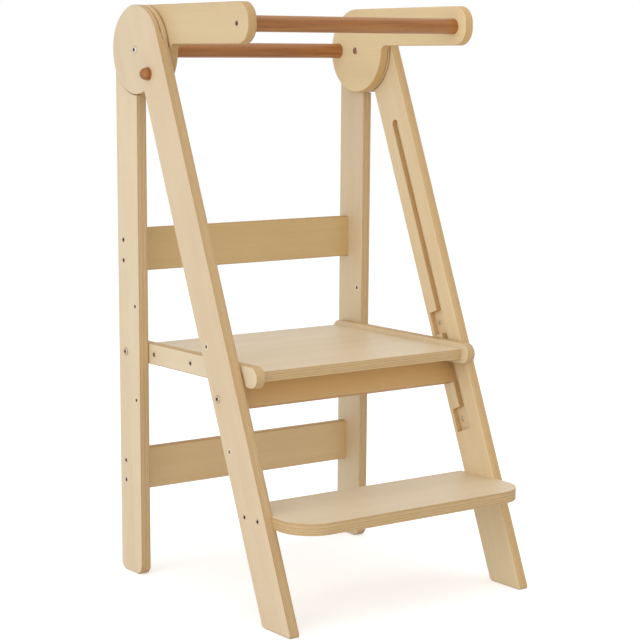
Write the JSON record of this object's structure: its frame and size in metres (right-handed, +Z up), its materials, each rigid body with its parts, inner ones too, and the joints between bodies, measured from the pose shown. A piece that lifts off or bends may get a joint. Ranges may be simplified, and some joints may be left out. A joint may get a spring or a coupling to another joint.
{
  "type": "toddler kitchen helper stool",
  "caption": "Folding wooden helper stool for a toddler: height-adjustable platform, lower step, two hinged side frames and a swing-up handrail.",
  "frame": {"origin": "middle of the part's box at floor level, between the four feet", "axes": "+X the stool's right side, +Y its back (away from the climbing child), +Z up; the step and the handrail's free end point to -Y"},
  "size_m": [0.4886, 0.4942, 0.9015],
  "materials": {
    "plywood": "satin clear-lacquered birch plywood",
    "beech": "satin oiled beech",
    "steel": "zinc-plated",
    "nylon": "natural nylon"
  },
  "bodies": {
    "rear_frame": {"rear_leg_left": "plywood", "rear_leg_right": "plywood", "upper_back_rail": "plywood", "lower_back_rail": "plywood", "upper_rail_screws": "steel", "lower_rail_screws": "steel", "rear_leg_inserts": "steel", "head_pivot_sleeves": "steel", "head_pivot_bolts": "steel", "head_washers": "nylon", "platform_washers": "nylon"},
    "front_frame": {"front_leg_left": "plywood", "front_leg_right": "plywood", "lower_step": "plywood", "step_screws": "steel", "crossbar": "plywood", "crossbar_inserts": "steel", "crossbar_bolts": "steel", "front_leg_inserts": "steel"},
    "handrail": {"arm_left": "plywood", "arm_right": "plywood", "handrail_front_rod": "beech", "handrail_rear_rod": "beech", "front_rod_screws": "steel", "rear_rod_screws": "steel"},
    "platform": {"platform_board": "plywood", "platform_side_rail_left": "plywood", "platform_side_rail_right": "plywood", "board_screws": "steel", "platform_pivot_bolts": "steel", "platform_pivot_inserts": "steel", "spare_pivot_inserts": "steel", "lane_pegs": "beech"},
    "stop_peg_left": {"stop_peg_left": "beech"},
    "stop_peg_right": {"stop_peg_right": "beech"}
  },
  "joints": [
    {"name": "front_leg_fold", "type": "hinge", "parent": "rear_frame", "child": "front_frame", "pos_m": [0, 0.17692, 0.834], "axis": [1, 0, 0], "range_deg": [0, 21.5]},
    {"name": "platform_fold", "type": "hinge", "parent": "rear_frame", "child": "platform", "pos_m": [0, 0.22222, 0.3618], "axis": [-1, 0, 0], "range_deg": [0, 69.88]},
    {"name": "handrail_lift", "type": "hinge", "parent": "front_frame", "child": "handrail", "pos_m": [0, 0.17692, 0.834], "axis": [-1, 0, 0], "range_deg": [0, 80]},
    {"name": "stop_peg_left_pull", "type": "slide", "parent": "front_frame", "child": "stop_peg_left", "axis": [-1, 0, 0], "range_m": [0, 0.02]},
    {"name": "stop_peg_right_pull", "type": "slide", "parent": "front_frame", "child": "stop_peg_right", "axis": [1, 0, 0], "range_m": [0, 0.02]}
  ],
  "couplings": [
    {"joint": "platform_fold", "follows": "front_leg_fold", "ratio": 3.25}
  ]
}
